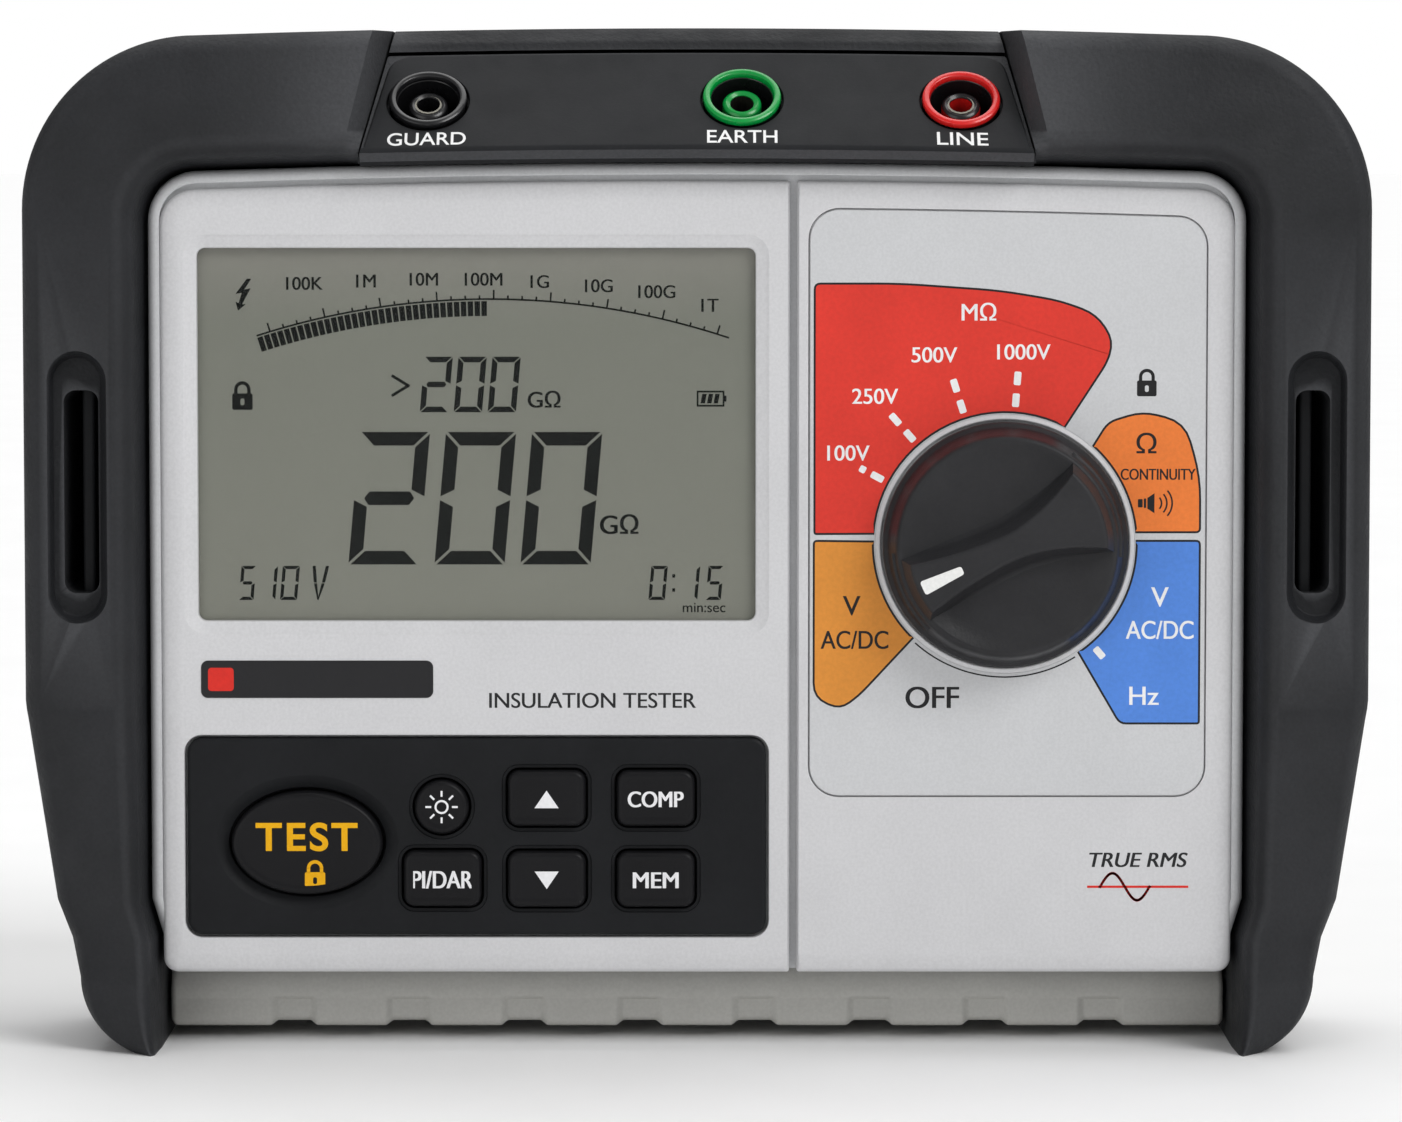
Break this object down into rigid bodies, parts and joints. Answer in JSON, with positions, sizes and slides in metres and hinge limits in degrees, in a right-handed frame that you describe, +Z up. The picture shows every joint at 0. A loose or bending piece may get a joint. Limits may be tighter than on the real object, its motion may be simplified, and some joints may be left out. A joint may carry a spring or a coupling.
{
  "type": "insulation resistance tester",
  "caption": "Insulation resistance tester with rubber armour, display, rotary range selector, keypad, shrouded terminals and a lid that folds away behind the case.",
  "frame": {"origin": "middle of the bounding box in X and Y, on the surface that the feet stand on", "axes": "+X to the right as the user faces the display, +Y back through the case, +Z up"},
  "size_m": [0.228, 0.0742, 0.1739],
  "materials": {
    "armour_rubber": "fine leathery texture, matt",
    "black_moulding": "fine spark texture, matt",
    "inner_moulding": "plain moulded",
    "case_grey": "fine spark texture",
    "face_grey": "fine spark texture",
    "dial_print": "matt printed film",
    "lid_grey": "fine spark texture",
    "keypad_black": "satin",
    "key_black": "smooth satin silicone",
    "soft_rubber": "plain",
    "knob_black": "leathery texture, satin",
    "white_insert": "satin",
    "socket_black": "semi-gloss",
    "socket_green": "semi-gloss",
    "socket_red": "semi-gloss",
    "contact_nickel": "nickel plated",
    "window_glass": "clear, lightly coated",
    "display_panel": "reflective liquid-crystal panel",
    "circuit_board": "solder mask",
    "component_black": "plain moulded",
    "cell_sleeve": "printed sleeve",
    "fastener_steel": "zinc plated"
  },
  "bodies": {
    "housing": {"armour_left": "armour_rubber", "armour_right": "armour_rubber", "rear_shell": "black_moulding", "terminal_rail": "black_moulding", "socket_panel": "black_moulding", "battery_cover": "black_moulding", "strap_bar_left": "black_moulding", "strap_bar_right": "black_moulding", "lcd_frame": "inner_moulding", "selector_switch_body": "inner_moulding", "battery_tray": "inner_moulding", "front_shell": "case_grey", "face_plate_display": "face_grey", "face_plate_dial": "face_grey", "dial_label": "dial_print", "keypad_bezel": "keypad_black", "keypad_mat": "soft_rubber", "case_gasket": "soft_rubber", "socket_guard": "socket_black", "socket_earth": "socket_green", "socket_line": "socket_red", "contact_guard": "contact_nickel", "contact_earth": "contact_nickel", "contact_line": "contact_nickel", "fuse": "contact_nickel", "lcd_window": "window_glass", "lcd_module": "display_panel", "main_board": "circuit_board", "hv_transformer": "component_black", "buzzer": "component_black", "battery_cell_1": "cell_sleeve", "battery_cell_2": "cell_sleeve", "battery_cell_3": "cell_sleeve", "battery_cell_4": "cell_sleeve", "battery_cell_5": "cell_sleeve", "battery_cell_6": "cell_sleeve", "spine_pin_left": "fastener_steel", "spine_pin_right": "fastener_steel", "case_screw_1": "fastener_steel", "case_screw_2": "fastener_steel", "case_screw_3": "fastener_steel", "case_screw_4": "fastener_steel", "battery_cover_screw_1": "fastener_steel", "battery_cover_screw_2": "fastener_steel"},
    "selector": {"selector_knob": "knob_black", "knob_pointer": "white_insert", "selector_shaft": "fastener_steel", "selector_rotor": "contact_nickel"},
    "spine": {"lid_spine": "lid_grey", "lid_hinge_pin": "fastener_steel"},
    "lid_leaf": {"lid": "lid_grey"},
    "test_button": {"key_test": "key_black"},
    "backlight_button": {"key_backlight": "key_black"},
    "pi_dar_button": {"key_pi_dar": "key_black"},
    "up_button": {"key_up": "key_black"},
    "down_button": {"key_down": "key_black"},
    "comp_button": {"key_comp": "key_black"},
    "mem_button": {"key_mem": "key_black"}
  },
  "joints": [
    {"name": "selector_turn", "type": "hinge", "parent": "housing", "child": "selector", "pos_m": [0.0521, -0.02465, 0.0866], "axis": [0, -1, 0], "range_deg": [-253, 38.5]},
    {"name": "spine_fold", "type": "hinge", "parent": "housing", "child": "spine", "pos_m": [0, -0.004, 0.0075], "axis": [-1, 0, 0], "range_deg": [0, 180]},
    {"name": "lid_fold", "type": "hinge", "parent": "spine", "child": "lid_leaf", "pos_m": [0, 0.02715, 0.0075], "axis": [-1, 0, 0], "range_deg": [0, 180]},
    {"name": "test_press", "type": "slide", "parent": "housing", "child": "test_button", "axis": [0, 1, 0], "range_m": [0, 0.0015], "stiffness_N_per_m": 600, "springref_m": -0.0005},
    {"name": "backlight_press", "type": "slide", "parent": "housing", "child": "backlight_button", "axis": [0, 1, 0], "range_m": [0, 0.0012], "stiffness_N_per_m": 600, "springref_m": -0.0005},
    {"name": "pi_dar_press", "type": "slide", "parent": "housing", "child": "pi_dar_button", "axis": [0, 1, 0], "range_m": [0, 0.0012], "stiffness_N_per_m": 600, "springref_m": -0.0005},
    {"name": "up_press", "type": "slide", "parent": "housing", "child": "up_button", "axis": [0, 1, 0], "range_m": [0, 0.0012], "stiffness_N_per_m": 600, "springref_m": -0.0005},
    {"name": "down_press", "type": "slide", "parent": "housing", "child": "down_button", "axis": [0, 1, 0], "range_m": [0, 0.0012], "stiffness_N_per_m": 600, "springref_m": -0.0005},
    {"name": "comp_press", "type": "slide", "parent": "housing", "child": "comp_button", "axis": [0, 1, 0], "range_m": [0, 0.0012], "stiffness_N_per_m": 600, "springref_m": -0.0005},
    {"name": "mem_press", "type": "slide", "parent": "housing", "child": "mem_button", "axis": [0, 1, 0], "range_m": [0, 0.0012], "stiffness_N_per_m": 600, "springref_m": -0.0005}
  ]
}
